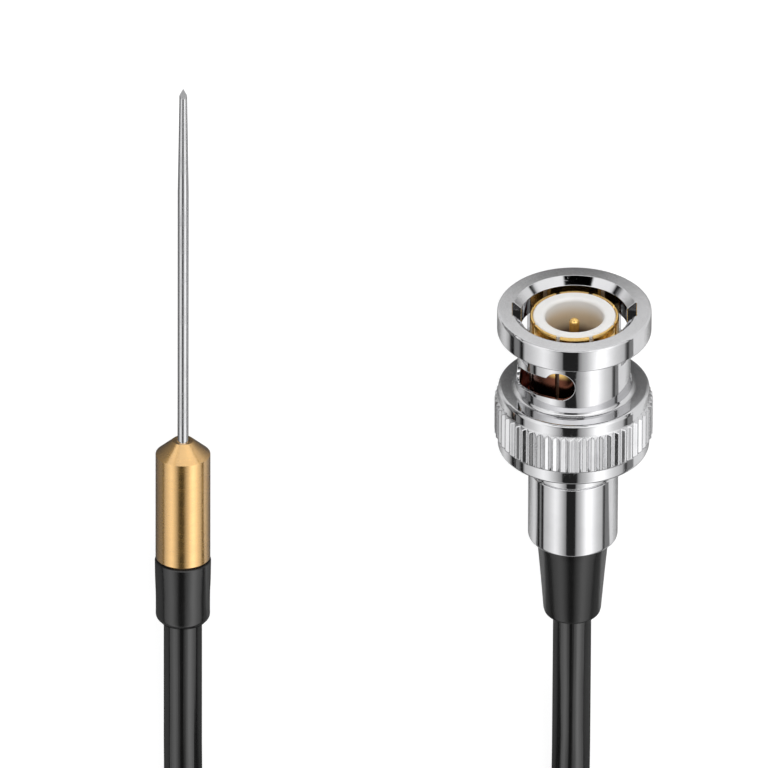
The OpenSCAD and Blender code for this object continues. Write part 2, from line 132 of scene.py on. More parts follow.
def coil_point(turns):
    """The cable's middle after so many turns of the coil. It climbs a layer in one smooth half turn."""
    s = min(1.0, max(0.0, (turns - COIL_LAYER_TURNS) * 2))
    height = COIL_LOW + COIL_STEP * s * s * (3 - 2 * s)
    angle = math.pi + math.tau * turns
    flat = Vector((math.cos(angle), math.sin(angle), 0.0)) * coil_radius(turns)
    return COIL_MIDDLE + flat + Vector((0.0, 0.0, height))


COIL_IN = (COIL_MIDDLE.x - COIL_OUT_R, COIL_MIDDLE.y + CABLE_D, COIL_LOW)
COIL_OUT = (COIL_MIDDLE.x + COIL_OUT_R, COIL_MIDDLE.y + CABLE_D, COIL_LOW + COIL_STEP)
PROBE_RUN = [
    tuple(PROBE_END), (0, -31, 2.5), (0, -35, 2.25), (0, -40, 1.9), (0, -45, 1.75), (-0.3, -48, 1.75),
    (-1.1, -51, 1.8), (-2.3, -54, 1.9), (-3.8, -57, 2), (-5.3, -60, 2.1), (-6.8, -63, 2.2),
    (-7.95, -66, 2.3), (-8.65, -69, 2.35), COIL_IN,
]
PLUG_RUN = [
    COIL_OUT, (44.15, -69, 6.3), (43.45, -66, 5.9), (42.3, -63, 5.3), (40.8, -60, 4.5),
    (39.3, -57, 3.75), (37.8, -54, 3), (36.6, -51, 2.35), (35.8, -48, 1.9), (35.5, -45, 1.75),
    (35.5, -40, 2.2), (35.5, -35, 3.25), (35.5, -30, 4.4), tuple(in_plug(0, 0, BOOT_END)),
]
RINGS_PER_TURN = 72
RUN_STEPS = 6


def smooth_run(points, before, after, steps):
    """A curve through all the points of a run, which leaves and arrives in the given directions."""
    points = [Vector(p) for p in points]
    first = points[0] - Vector(before).normalized() * (points[1] - points[0]).length
    last = points[-1] + Vector(after).normalized() * (points[-1] - points[-2]).length
    line = [first, *points, last]
    made = []
    for a, b, c, d in zip(line, line[1:], line[2:], line[3:]):
        for i in range(steps):
            t = i / steps
            made.append(0.5 * (2 * b + (c - a) * t + (2 * a - 5 * b + 4 * c - d) * t * t
                               + (3 * b - a - 3 * c + d) * t * t * t))
    return made + [points[-1]]


def lead_route():
    """The whole lead from the probe's sleeve to the plug's boot, in millimetres."""
    down = smooth_run(PROBE_RUN, (0, -1, 0), (0, -1, 0), RUN_STEPS)
    turns = round(COIL_TURNS * RINGS_PER_TURN)
    coil = [coil_point(i / RINGS_PER_TURN) for i in range(turns + 1)]
    up = smooth_run(PLUG_RUN, (0, 1, 0), PLUG_AXIS, RUN_STEPS)
    return down + coil + up


# ---------------------------------------------------------------- Making pieces


def new_piece(name, points, faces, uvs=None):
    """A mesh object from points in millimetres. uvs gives one pair for each corner of each face."""
    mesh = bpy.data.meshes.new(name)
    mesh.from_pydata([Vector(p) * MM for p in points], [], faces)
    mesh.update()
    if uvs is not None:
        layer = mesh.uv_layers.new(name="along")
        for loop, uv in zip(layer.data, uvs):
            loop.uv = uv
    piece = bpy.data.objects.new(name, mesh)
    bpy.context.scene.collection.objects.link(piece)
    return piece


def only(piece):
    """Selects this piece alone and makes it active, as every operator needs."""
    bpy.ops.object.select_all(action="DESELECT")
    piece.select_set(True)
    bpy.context.view_layer.objects.active = piece


def apply_all(piece):
    """Applies all of a piece's modifiers, in order."""
    only(piece)
    for modifier in list(piece.modifiers):
        bpy.ops.object.modifier_apply(modifier=modifier.name)


def smooth_by_angle(piece, degrees):
    """Shades a piece smooth, except where its faces meet at more than an angle."""
    only(piece)
    bpy.ops.object.shade_smooth_by_angle(angle=math.radians(degrees))


def pick_points(piece, wanted):
    """In edit mode, selects the points whose place in millimetres passes the test."""
    bpy.ops.mesh.select_mode(type="VERT")
    bpy.ops.mesh.select_all(action="DESELECT")
    bpy.ops.object.mode_set(mode="OBJECT")
    for point in piece.data.vertices:
        point.select = wanted(point.co / MM)
    bpy.ops.object.mode_set(mode="EDIT")


def arc(radius, height, size, start, end, steps):
    """Points of a round corner in an outline: its centre, its radius and its two angles."""
    turns = [math.radians(start + (end - start) * i / steps) for i in range(steps + 1)]
    return [(radius + size * math.cos(a), height + size * math.sin(a)) for a in turns]


def turned_piece(name, outline, sides):
    """A hollow body round the Z axis, drawn out ring by ring along a closed outline in millimetres."""
    bpy.ops.object.select_all(action="DESELECT")
    radius, height = outline[0]
    bpy.ops.mesh.primitive_circle_add(vertices=sides, radius=radius * MM, location=(0, 0, height * MM))
    piece = bpy.context.object
    piece.name = name
    piece.data.name = name
    bpy.ops.object.transform_apply(location=True, rotation=True, scale=True)
    bpy.ops.object.mode_set(mode="EDIT")
    bpy.ops.mesh.select_all(action="SELECT")
    for next_radius, next_height in outline[1:] + outline[:1]:
        bpy.ops.mesh.extrude_region_move(
            TRANSFORM_OT_translate={"value": (0, 0, (next_height - height) * MM)})
        grow = next_radius / radius
        bpy.ops.transform.resize(value=(grow, grow, 1), center_override=(0, 0, 0))
        radius, height = next_radius, next_height
    bpy.ops.mesh.select_all(action="SELECT")
    bpy.ops.mesh.remove_doubles(threshold=0.002 * MM)
    bpy.ops.mesh.normals_make_consistent(inside=False)
    bpy.ops.object.mode_set(mode="OBJECT")
    return piece


def put_in_place(piece, place, turn):
    """Turns and moves a piece that was made round the origin, and keeps its place in its mesh."""
    piece.rotation_euler = turn
    piece.location = place * MM
    only(piece)
    bpy.ops.object.transform_apply(location=True, rotation=True, scale=True)


def finish_piece(piece, slot, *replaced):
    """Hides the nodes that a piece replaces, and lets it ride on the lead; slot, its finish, is not used.
    """
    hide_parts(*replaced)
    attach(piece, "lead")


# ---------------------------------------------------------------- The soft pieces of the lead


def tube_along(name, route, radius, sides):
    """A round tube along a route, with closed ends. Its UV map is in millimetres: round, along."""
    points, faces, uvs = [], [], []
    count = len(route)
    heading = [(route[min(i + 1, count - 1)] - route[max(i - 1, 0)]).normalized() for i in range(count)]
    heading[0] = Vector((0, -1, 0))
    heading[-1] = PLUG_AXIS.copy()
    side = Vector((1, 0, 0))
    length, lengths = 0.0, []
    for i, (centre, along) in enumerate(zip(route, heading)):
        side = (side - along * side.dot(along)).normalized()
        up = along.cross(side)
        length += (centre - route[i - 1]).length if i else 0.0
        lengths.append(length)
        for k in range(sides):
            a = math.tau * k / sides
            points.append(centre + (side * math.cos(a) + up * math.sin(a)) * radius)
    around = math.tau * radius / sides
    for i in range(count - 1):
        for k in range(sides):
            n = (k + 1) % sides
            faces.append((i * sides + k, i * sides + n, (i + 1) * sides + n, (i + 1) * sides + k))
            uvs += [(k * around, lengths[i]), ((k + 1) * around, lengths[i]),
                    ((k + 1) * around, lengths[i + 1]), (k * around, lengths[i + 1])]
    faces.append(tuple(reversed(range(sides))))
    faces.append(tuple(range((count - 1) * sides, count * sides)))
    uvs += [(0.0, 0.0)] * (2 * sides)
    piece = new_piece(name, points, faces, uvs)
    smooth_by_angle(piece, 60.0)
    return piece


CABLE_SIDES = 32


def make_lead():
    """The cable in one piece from the sleeve to the boot, with its coil."""
    route = lead_route()
    lead = tube_along("lead_cable", route, CABLE_D / 2, CABLE_SIDES)
    finish_piece(lead, "cable_jacket", "cable_probe_run", "cable_coil", "cable_plug_run")
    return lead, route


def make_sleeve():
    """The shrink sleeve: full over the ferrule's spigot, drawn in a little where the spigot ends."""
    on_cable, on_spigot, edge = 1.76, 2.155, 0.17
    outline = [(on_cable, 0.45), (on_cable + 0.08, 0.14)]
    outline += arc(2.14, 0.16, 0.16, 215, 270, 3)
    outline += arc(1.86, 0.62, 0.62, 285, 360, 6)
    outline += [(2.475, 1.1), (2.485, 1.9), (2.49, 2.7), (2.5, 3.1), (2.53, 3.5), (2.55, 4.1), (2.56, 4.9)]
    outline += arc(2.4, SLEEVE_LENGTH - edge, edge, 0, 90, 5)
    outline += [(2.22, SLEEVE_LENGTH), (on_spigot, SLEEVE_LENGTH - 0.08)]
    outline += [(on_spigot, SPIGOT_START), (on_cable, SPIGOT_START)]
    sleeve = turned_piece("sleeve_shell", outline, 72)
    # Shrinking leaves its skin a little uneven.
    only(sleeve)
    bpy.ops.object.mode_set(mode="EDIT")
    pick_points(sleeve, lambda p: math.hypot(p.x, p.y) > 2.46 and 1.0 < p.z < 5.0)
    bpy.ops.transform.vertex_random(offset=0.012 * MM, uniform=0.0, normal=1.0, seed=5)
    bpy.ops.mesh.vertices_smooth(factor=0.5, repeat=3)
    bpy.ops.object.mode_set(mode="OBJECT")
    put_in_place(sleeve, PROBE_END, PROBE_TURN)
    smooth_by_angle(sleeve, 50.0)
    finish_piece(sleeve, "shrink_sleeve", "probe_sleeve")
    return sleeve


def make_boot():
    """The rubber boot: its nose is under the barrel, and its tail ends in a soft lip on the cable."""
    nose, big, small, lip = 3.2, 3.24, 2.6, 0.34
    on_crimp, on_braid, on_cable = 2.95, 2.31, 1.76
    shoulder = -BARREL_END - 0.25
    outline = [(on_crimp, -BOOT_START), (nose, -BOOT_START), (nose, -BARREL_END + 0.3)]
    outline += [(big - 0.03, -BARREL_END - 0.05), (big, shoulder)]
    steps = 8
    taper = BOOT_END - lip + shoulder
    for i in range(1, steps + 1):
        s = i / steps
        hollow = 0.02 * math.sin(math.pi * s)
        outline.append((big + (small - big) * s - hollow, shoulder - taper * s))
    outline += arc(small - lip, lip - BOOT_END, lip, -15, -90, 6)
    outline += [(1.98, 0.02 - BOOT_END), (1.84, 0.12 - BOOT_END), (on_cable, 0.35 - BOOT_END)]
    outline += [(on_cable, -JACKET_START), (on_braid, -JACKET_START)]
    outline += [(on_braid, -CRIMP_END), (on_crimp, -CRIMP_END)]
    boot = turned_piece("boot_shell", outline, 96)
    # The mould leaves a faint line down each side.
    only(boot)
    bpy.ops.object.mode_set(mode="EDIT")
    pick_points(boot, lambda p: p.z < -BARREL_END and abs(p.y) < 0.02 and abs(p.x) > 2.3)
    bpy.ops.transform.resize(value=(1.012, 1.0, 1.0), center_override=(0, 0, 0))
    bpy.ops.object.mode_set(mode="OBJECT")
    put_in_place(boot, PLUG_FACE, PLUG_TURN)
    smooth_by_angle(boot, 40.0)
    finish_piece(boot, "boot_rubber", "boot")
    return boot


def make_gasket():
    """The moulded ring that the socket's edge presses on, with its front corners rounded."""
    front, rear, inner, outer, soft = 9.9, 10.6, 4.26, 4.83, 0.22
    outline = [(inner, -rear), (inner, -front - 0.1), (inner + 0.1, -front)]
    outline += arc(outer - soft, -front - soft, soft, 90, 0, 5)
    outline += [(outer, -rear)]
    gasket = turned_piece("gasket_ring", outline, 96)
    put_in_place(gasket, PLUG_FACE, PLUG_TURN)
    smooth_by_angle(gasket, 40.0)
    finish_piece(gasket, "silicone", "gasket")
    return gasket


STRAP_WIDTH = 5.0
STRAP_THICK = 0.5
# How far the strap stays off the cable's side.
STRAP_GAP = 0.35


def strap_line():
    """The strap's middle line as (y, height): once round all the turns, and a lap on top."""
    corner = 2.25
    reach = CABLE_D / 2 + STRAP_GAP + STRAP_THICK / 2
    near = COIL_MIDDLE.y - coil_radius(COIL_LAYER_TURNS - 0.25) + reach
    far = COIL_MIDDLE.y - coil_radius(0.25) - reach
    low, high = STRAP_THICK / 2, COIL_LOW + COIL_STEP + reach
    side_heights = (3.4, 4.5, 5.6)
    line = [(near - 4.7 - i, high) for i in range(10)]
    line += arc(far + corner, high - corner, corner, 90, 180, 10)
    line += [(far, z) for z in reversed(side_heights)]
    line += arc(far + corner, low + corner, corner, 180, 270, 10)
    line += [(far + corner + i, low) for i in range(1, 12)]
    line += arc(near - corner, low + corner, corner, 270, 360, 10)
    line += [(near, z) for z in side_heights]
    line += arc(near - corner, high - corner, corner, 0, 90, 10)
    line += [(near - 3.0, high), (near - 3.6, high + 0.12), (near - 4.2, high + 0.4)]
    line += [(near - 4.8, high + 0.54)]
    line += [(near - 5.7 - i, high + 0.56) for i in range(7)]
    return line


def make_strap():
    """The woven strap round the coil, with a thumb's width of lap on top."""
    line = strap_line()
    across = 10
    row = across + 1
    points, faces, uvs, lengths = [], [], [], []
    along = 0.0
    for i, (y, z) in enumerate(line):
        if i:
            along += math.hypot(y - line[i - 1][0], z - line[i - 1][1])
        lengths.append(along)
        tuck = 0.5 * max(0, i + 3 - len(line))
        points += [(COIL_MIDDLE.x + (k / across - 0.5) * (STRAP_WIDTH - tuck), y, z) for k in range(row)]
    for i in range(len(line) - 1):
        for k in range(across):
            a = i * row + k
            faces.append((a, a + 1, a + row + 1, a + row))
            s0, s1 = k / across * STRAP_WIDTH, (k + 1) / across * STRAP_WIDTH
            uvs += [(s0, lengths[i]), (s1, lengths[i]), (s1, lengths[i + 1]), (s0, lengths[i + 1])]
    strap = new_piece("coil_strap", points, faces, uvs)
    wall = strap.modifiers.new("wall", "SOLIDIFY")
    wall.thickness = STRAP_THICK * MM
    wall.offset = 0.0
    edge = strap.modifiers.new("edge", "BEVEL")
    edge.width = 0.12 * MM
    edge.segments = 2
    edge.limit_method = "ANGLE"
    edge.angle_limit = math.radians(50)
    apply_all(strap)
    smooth_by_angle(strap, 40.0)
    finish_piece(strap, "strap", "coil_tie")
    return strap


def make_wave_spring():
    """One ring of spring strip with three waves, between the body's flange and the washer."""
    at_flange, at_washer = 11.6, 12.98
    inner, outer, thick, edge = 3.7, 4.7, 0.25, 0.05
    waves, steps = 3, 120
    middle = (at_flange + at_washer) / 2
    lift = (at_washer - at_flange - thick) / 2 - 0.03
    section = [(inner, -thick / 2 + edge), (inner, thick / 2 - edge), (inner + edge, thick / 2),
               (outer - edge, thick / 2), (outer, thick / 2 - edge), (outer, -thick / 2 + edge),
               (outer - edge, -thick / 2), (inner + edge, -thick / 2)]
    n = len(section)
    points, faces = [], []
    for i in range(steps):
        a = math.tau * i / steps
        wave = lift * math.cos(waves * a)
        for r, z in section:
            points.append(in_plug(r * math.cos(a), r * math.sin(a), middle - wave - z))
    for i in range(steps):
        j = (i + 1) % steps
        for k in range(n):
            m = (k + 1) % n
            faces.append((i * n + k, i * n + m, j * n + m, j * n + k))
    spring = new_piece("spring_ring", points, faces)
    only(spring)
    bpy.ops.object.mode_set(mode="EDIT")
    bpy.ops.mesh.select_all(action="SELECT")
    bpy.ops.mesh.normals_make_consistent(inside=False)
    bpy.ops.object.mode_set(mode="OBJECT")
    smooth_by_angle(spring, 50.0)
    finish_piece(spring, "spring_steel", "wave_spring")
    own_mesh(spring)
    return spring


lead, route = make_lead()
sleeve = make_sleeve()
boot = make_boot()
gasket = make_gasket()
strap = make_strap()
wave = make_wave_spring()

# ---------------------------------------------------------------- Building nodes


def link(tree, a, b):
    tree.links.new(a, b)


def feed(tree, socket, value):
    """Links a socket to another one, or sets a plain number, colour or vector on it."""
    if value is None:
        return
    if isinstance(value, bpy.types.NodeSocket):
        link(tree, value, socket)
    else:
        socket.default_value = value


def math_node(tree, kind, a, b=None, c=None, clamp=False):
    """A maths node fed by sockets or numbers."""
    made = tree.nodes.new("ShaderNodeMath")
    made.operation = kind
    made.use_clamp = clamp
    for socket, value in zip(made.inputs, (a, b, c)):
        feed(tree, socket, value)
    return made.outputs[0]


def vector_node(tree, kind, a, b=None):
    """A vector maths node, with its outputs."""
    made = tree.nodes.new("ShaderNodeVectorMath")
    made.operation = kind
    for socket, value in zip(made.inputs, (a, b)):
        feed(tree, socket, value)
    return made


def split(tree, vector):
    """The three numbers of a vector."""
    made = tree.nodes.new("ShaderNodeSeparateXYZ")
    link(tree, vector, made.inputs[0])
    return made.outputs["X"], made.outputs["Y"], made.outputs["Z"]


def between(tree, value, low, high, to_low=0.0, to_high=1.0, soft=False):
    """Maps a value from one span to another, and holds it there."""
    made = tree.nodes.new("ShaderNodeMapRange")
    made.interpolation_type = "SMOOTHSTEP" if soft else "LINEAR"
    for name, number in (("Value", value), ("From Min", low), ("From Max", high),
                         ("To Min", to_low), ("To Max", to_high)):
        feed(tree, made.inputs[name], number)
    return made.outputs["Result"]


def noise(tree, vector, scale, detail=2.0, rough=0.5):
    """Cloudy noise at a scale in grains per millimetre."""
    made = tree.nodes.new("ShaderNodeTexNoise")
    for name, value in (("Vector", vector), ("Scale", scale), ("Detail", detail), ("Roughness", rough)):
        feed(tree, made.inputs[name], value)
    return made.outputs["Fac"]


def line_noise(tree, along, scale, detail=2.0):
    """Noise that changes along one number alone, for lines and rings."""
    made = tree.nodes.new("ShaderNodeTexNoise")
    made.noise_dimensions = "1D"
    for name, value in (("W", along), ("Scale", scale), ("Detail", detail)):
        feed(tree, made.inputs[name], value)
    return made.outputs["Fac"]


def mix_colours(tree, factor, a, b):
    """Colour a where the factor is 0, and colour b where it is 1."""
    made = tree.nodes.new("ShaderNodeMix")
    made.data_type = "RGBA"
    feed(tree, made.inputs[0], factor)
    feed(tree, made.inputs[6], a)
    feed(tree, made.inputs[7], b)
    return made.outputs[2]


def bump(tree, height, depth, normal=None):
    """Raises the surface by up to a depth in millimetres where the height is 1."""
    made = tree.nodes.new("ShaderNodeBump")
    made.inputs["Strength"].default_value = 1.0
    made.inputs["Distance"].default_value = depth * MM
    link(tree, height, made.inputs["Height"])
    feed(tree, made.inputs["Normal"], normal)
    return made.outputs["Normal"]


# ---------------------------------------------------------------- Light and floor

# How bright the tent is at each angle round the probe's axis: 0 is straight above, minus is left.
TENT = [
    (-90, 0.0), (-88, 0.0), (-83, 0.62), (-70, 0.78), (-60, 1.0), (-50, 1.2), (-42, 1.08),
    (-31, 0.70), (-24, 0.45), (-19.5, 0.30), (-17.5, 0.02), (5.5, 0.02), (8, 0.28), (13, 0.5),
    (20, 0.68), (28, 1.02), (36, 1.42), (44, 1.6), (52, 1.42), (60, 1.12), (68, 0.88), (76, 0.74),
    (84, 0.60), (88, 0.15), (90, 0.1),
]
TENT_TOP = 1.6
STUDIO_LEVEL = 1.15

# The rest is placed by the direction in which the object sees it: x is 1 at the right, and y is 1 straight
# ahead, where the needle points, and -1 straight behind. A pair is where a soft edge starts and ends.
# Towards the point end the dark strip overhead fades into a bright front box.
FRONT_BOX = 1.8
FRONT_BOX_FULL = 0.55
FRONT_BOX_FADE = 1.5
FRONT_BOX_SIDE = (math.radians(22), math.radians(60))
# The tent's two ends, ahead and behind, are lit by themselves.
END_AHEAD = 1.15
END_BEHIND = 0.35
END_REACH = 0.9
END_BEHIND_EDGE = (-0.97, -0.82)
# A dark card hangs straight ahead, with light under it and at each side.
CARD_MIDDLE = -0.08
CARD_SIDE_EDGE = (0.30, 0.36)
CARD_NEAR_EDGE = (0.60, 0.66)
CARD_FAR_EDGE = (0.85, 0.90)


def tent_over(tree, angle):
    """The tent's brightness at an angle round the probe's axis."""
    ramp = tree.nodes.new("ShaderNodeValToRGB")
    link(tree, math_node(tree, "MULTIPLY_ADD", angle, 1 / math.pi, 0.5), ramp.inputs[0])
    ramp.color_ramp.interpolation = "LINEAR"
    elements = ramp.color_ramp.elements
    while len(elements) > 1:
        elements.remove(elements[-1])
    for i, (degrees, level) in enumerate(TENT):
        position = degrees / 180 + 0.5
        element = elements[0] if i == 0 else elements.new(position)
        element.position = position
        element.color = (level / TENT_TOP,) * 3 + (1.0,)
    return math_node(tree, "MULTIPLY", ramp.outputs["Color"], TENT_TOP)


def front_box(tree, y, angle):
    """A mask for the front box: full far enough ahead, and gone towards the sides."""
    ahead = math_node(tree, "DIVIDE", y, FRONT_BOX_FULL, clamp=True)
    ahead = math_node(tree, "POWER", ahead, FRONT_BOX_FADE)
    off_top = math_node(tree, "ABSOLUTE", angle)
    overhead = between(tree, off_top, *FRONT_BOX_SIDE, 1.0, 0.0, True)
    return math_node(tree, "MULTIPLY", ahead, overhead)


def tent_ends(tree, x, y):
    """The brightness of the tent's two ends, with the dark card, and a mask for where they are."""
    level = between(tree, y, -END_REACH, END_REACH, END_BEHIND, END_AHEAD)
    aside = math_node(tree, "ABSOLUTE", math_node(tree, "SUBTRACT", x, CARD_MIDDLE))
    beside = between(tree, aside, *CARD_SIDE_EDGE, 0.0, 1.0, True)
    short_of = between(tree, y, *CARD_NEAR_EDGE, 1.0, 0.0, True)
    past = between(tree, y, *CARD_FAR_EDGE, 0.0, 1.0, True)
    off_the_card = math_node(tree, "MAXIMUM", beside, math_node(tree, "MAXIMUM", short_of, past))
    ahead = between(tree, y, *CARD_NEAR_EDGE, 0.0, 1.0, True)
    behind = between(tree, y, *END_BEHIND_EDGE, 1.0, 0.0, True)
    return math_node(tree, "MULTIPLY", level, off_the_card), math_node(tree, "MAXIMUM", ahead, behind)


def light_the_studio():
    """A white surround for the camera, and a tent of soft boxes over the object."""
    world = bpy.data.worlds.new("studio")
    bpy.context.scene.world = world
    world.use_nodes = True
    tree = world.node_tree
    tree.nodes.clear()
    coordinate = tree.nodes.new("ShaderNodeTexCoord")
    x, y, z = split(tree, coordinate.outputs["Generated"])
    angle = math_node(tree, "ARCTAN2", x, z)
    tent = tent_over(tree, angle)
    tent = between(tree, front_box(tree, y, angle), 0.0, 1.0, tent, FRONT_BOX)
    end, at_an_end = tent_ends(tree, x, y)
    tent = between(tree, at_an_end, 0.0, 1.0, tent, end)
    tent = math_node(tree, "MULTIPLY", tent, STUDIO_LEVEL)
    tent_light = tree.nodes.new("ShaderNodeBackground")
    link(tree, tent, tent_light.inputs["Strength"])
    white = tree.nodes.new("ShaderNodeBackground")
    for light in (tent_light, white):
        light.inputs["Color"].default_value = (1.0, 1.0, 1.0, 1.0)
    white.inputs["Strength"].default_value = 1.0
    path = tree.nodes.new("ShaderNodeLightPath")
    either = tree.nodes.new("ShaderNodeMixShader")
    link(tree, path.outputs["Is Camera Ray"], either.inputs[0])
    link(tree, tent_light.outputs[0], either.inputs[1])
    link(tree, white.outputs[0], either.inputs[2])
    out = tree.nodes.new("ShaderNodeOutputWorld")
    link(tree, either.outputs[0], out.inputs["Surface"])


# Lengths and places on the floor are in metres.
FLOOR_SIZE = 6.0
FLOOR_MIDDLE = (0.018, -0.035, 0.0)
# The camera sees the floor as partly matt and partly aglow, which keeps it white round a soft shadow.
FLOOR_FOR_CAMERA = 0.3
FLOOR_GLOW = 0.85
# What metal and cable mirror of it has values of its own: pale in the open, with painted shade that makes
# it dark in the nooks under a piece and towards the horizon, and dimmed beside the needle probe and behind
# the plug's barrel.
FLOOR_GLOW_IN_METAL = 0.05
FLOOR_NOOK = 0.014
FLOOR_NOOK_POWER = 4.0
FLOOR_NOOK_SAMPLES = 4
FLOOR_HORIZON = (0.03, 0.08)
FLOOR_DIM = 0.24
FLOOR_DIM_BESIDE = (-0.004, 0.022)
FLOOR_DIM_BEHIND = (-0.031, -0.027)


def floor_in_reflections(tree):
    """How pale the floor is in what metal and cable see of it, with painted shade in the nooks, towards the
    horizon, beside the probe and behind the barrel.
    """
    nook = tree.nodes.new("ShaderNodeAmbientOcclusion")
    nook.inputs["Distance"].default_value = FLOOR_NOOK
    nook.samples = FLOOR_NOOK_SAMPLES
    open_floor = math_node(tree, "POWER", nook.outputs["AO"], FLOOR_NOOK_POWER)
    facing = tree.nodes.new("ShaderNodeLayerWeight").outputs["Facing"]
    slope = math_node(tree, "SUBTRACT", 1.0, facing)
    near_by = between(tree, slope, *FLOOR_HORIZON)
    x, y = split(tree, tree.nodes.new("ShaderNodeNewGeometry").outputs["Position"])[:2]
    # Painted shade: the floor's colour is dimmed beside the probe and behind the barrel.
    beside = between(tree, x, *FLOOR_DIM_BESIDE, FLOOR_DIM, 1.0, True)
    behind = between(tree, y, *FLOOR_DIM_BEHIND, FLOOR_DIM, 1.0, True)
    dimmed = math_node(tree, "MULTIPLY", near_by, math_node(tree, "MINIMUM", beside, behind))
    return math_node(tree, "MULTIPLY", open_floor, dimmed)


def lay_the_floor():
    """A pale matt floor that takes a soft shadow and shows white where nothing shades it."""
    bpy.ops.object.select_all(action="DESELECT")
    bpy.ops.mesh.primitive_plane_add(size=FLOOR_SIZE, location=FLOOR_MIDDLE)
    floor = bpy.context.object
    floor.name = "floor"
    material = bpy.data.materials.new("pale_floor")
    material.use_nodes = True
    tree = material.node_tree
    tree.nodes.clear()
    path = tree.nodes.new("ShaderNodeLightPath")
    seen = path.outputs["Is Camera Ray"]
    matt = tree.nodes.new("ShaderNodeBsdfDiffuse")
    for_camera = (FLOOR_FOR_CAMERA,) * 3 + (1.0,)
    link(tree, mix_colours(tree, seen, floor_in_reflections(tree), for_camera), matt.inputs["Color"])
    glow = tree.nodes.new("ShaderNodeEmission")
    mirrored, refracted = path.outputs["Is Glossy Ray"], path.outputs["Is Transmission Ray"]
    in_metal = math_node(tree, "MAXIMUM", mirrored, refracted)
    for_metal = math_node(tree, "MULTIPLY", in_metal, FLOOR_GLOW_IN_METAL)
    link(tree, math_node(tree, "MULTIPLY_ADD", seen, FLOOR_GLOW, for_metal), glow.inputs["Strength"])
    both = tree.nodes.new("ShaderNodeAddShader")
    link(tree, matt.outputs[0], both.inputs[0])
    link(tree, glow.outputs[0], both.inputs[1])
    out = tree.nodes.new("ShaderNodeOutputMaterial")
    link(tree, both.outputs[0], out.inputs["Surface"])
    floor.data.materials.append(material)


light_the_studio()
lay_the_floor()
bpy.context.scene.view_settings.view_transform = "Standard"

# ---------------------------------------------------------------- Effects that several finishes share

VECTOR = "NodeSocketVector"
NUMBER = "NodeSocketFloat"


def new_effect(name, inputs, outputs):
    """An empty node group with its named sockets, and its two end nodes."""
    group = bpy.data.node_groups.new(name, "ShaderNodeTree")
    for socket, kind in inputs:
        group.interface.new_socket(name=socket, in_out="INPUT", socket_type=kind)
    for socket, kind in outputs:
        group.interface.new_socket(name=socket, in_out="OUTPUT", socket_type=kind)
    start, end = group.nodes.new("NodeGroupInput"), group.nodes.new("NodeGroupOutput")
    return group, start.outputs, end.inputs


def lathe_lines():
    """Rings that a cutting tool leaves round the Z axis, on walls and faces alike."""
    group, given, result = new_effect(
        "lathe_lines", [("Point", VECTOR), ("Lines", NUMBER)], [("Height", NUMBER), ("Tone", NUMBER)])
    x, y, z = split(group, given["Point"])
    squares = math_node(group, "MULTIPLY_ADD", x, x, math_node(group, "MULTIPLY", y, y))
    along = math_node(group, "ADD", math_node(group, "SQRT", squares), z)
    fine = line_noise(group, along, given["Lines"], 3.0)
    broad = line_noise(group, along, math_node(group, "MULTIPLY", given["Lines"], 0.12), 2.0)
    link(group, fine, result["Height"])
    tone = math_node(group, "MULTIPLY_ADD", fine, 0.4, math_node(group, "MULTIPLY", broad, 0.6))
    link(group, tone, result["Tone"])
    return group


def handling():
    """Marks of use: soft smudges, and hairline scratches in two directions."""
    group, given, result = new_effect(
        "handling", [("Point", VECTOR), ("Smudge size", NUMBER)], [("Smudge", NUMBER), ("Scratch", NUMBER)])
    spots = noise(group, given["Point"], math_node(group, "DIVIDE", 1.0, given["Smudge size"]), 3.0, 0.6)
    link(group, between(group, spots, 0.42, 0.68, 0.0, 1.0, True), result["Smudge"])
    marks = []
    for stretch in ((9.0, 0.5, 0.7), (0.6, 8.0, 1.4)):
        stretched = vector_node(group, "MULTIPLY", given["Point"], stretch).outputs[0]
        marks.append(between(group, noise(group, stretched, 1.6, 1.0, 0.4), 0.70, 0.76))
    where = between(group, noise(group, given["Point"], 0.35, 1.0), 0.45, 0.6)
    both = math_node(group, "MAXIMUM", marks[0], marks[1])
    link(group, math_node(group, "MULTIPLY", both, where), result["Scratch"])
    return group


def moulded_grain():
    """The fine skin of a moulded or drawn plastic, and slow changes of tone over it."""
    group, given, result = new_effect(
        "moulded_grain", [("Point", VECTOR), ("Grain", NUMBER)], [("Height", NUMBER), ("Tone", NUMBER)])
    link(group, noise(group, given["Point"], given["Grain"], 4.0, 0.6), result["Height"])
    slow = math_node(group, "MULTIPLY", given["Grain"], 0.07)
    link(group, noise(group, given["Point"], slow, 2.0, 0.5), result["Tone"])
    return group


# Enough for an edge's highlight without grain.
EDGE_SAMPLES = 16


def soft_edges():
    """Rounds every edge by a radius in metres, and marks where the rounding is."""
    group, given, result = new_effect(
        "soft_edges", [("Radius", NUMBER)], [("Normal", VECTOR), ("Edge", NUMBER)])
    rounded = group.nodes.new("ShaderNodeBevel")
    rounded.samples = EDGE_SAMPLES
    link(group, given["Radius"], rounded.inputs["Radius"])
    plain = group.nodes.new("ShaderNodeNewGeometry")
    likeness = vector_node(group, "DOT_PRODUCT", rounded.outputs["Normal"], plain.outputs["Normal"])
    link(group, rounded.outputs["Normal"], result["Normal"])
    link(group, between(group, likeness.outputs["Value"], 0.99, 0.80), result["Edge"])
    return group


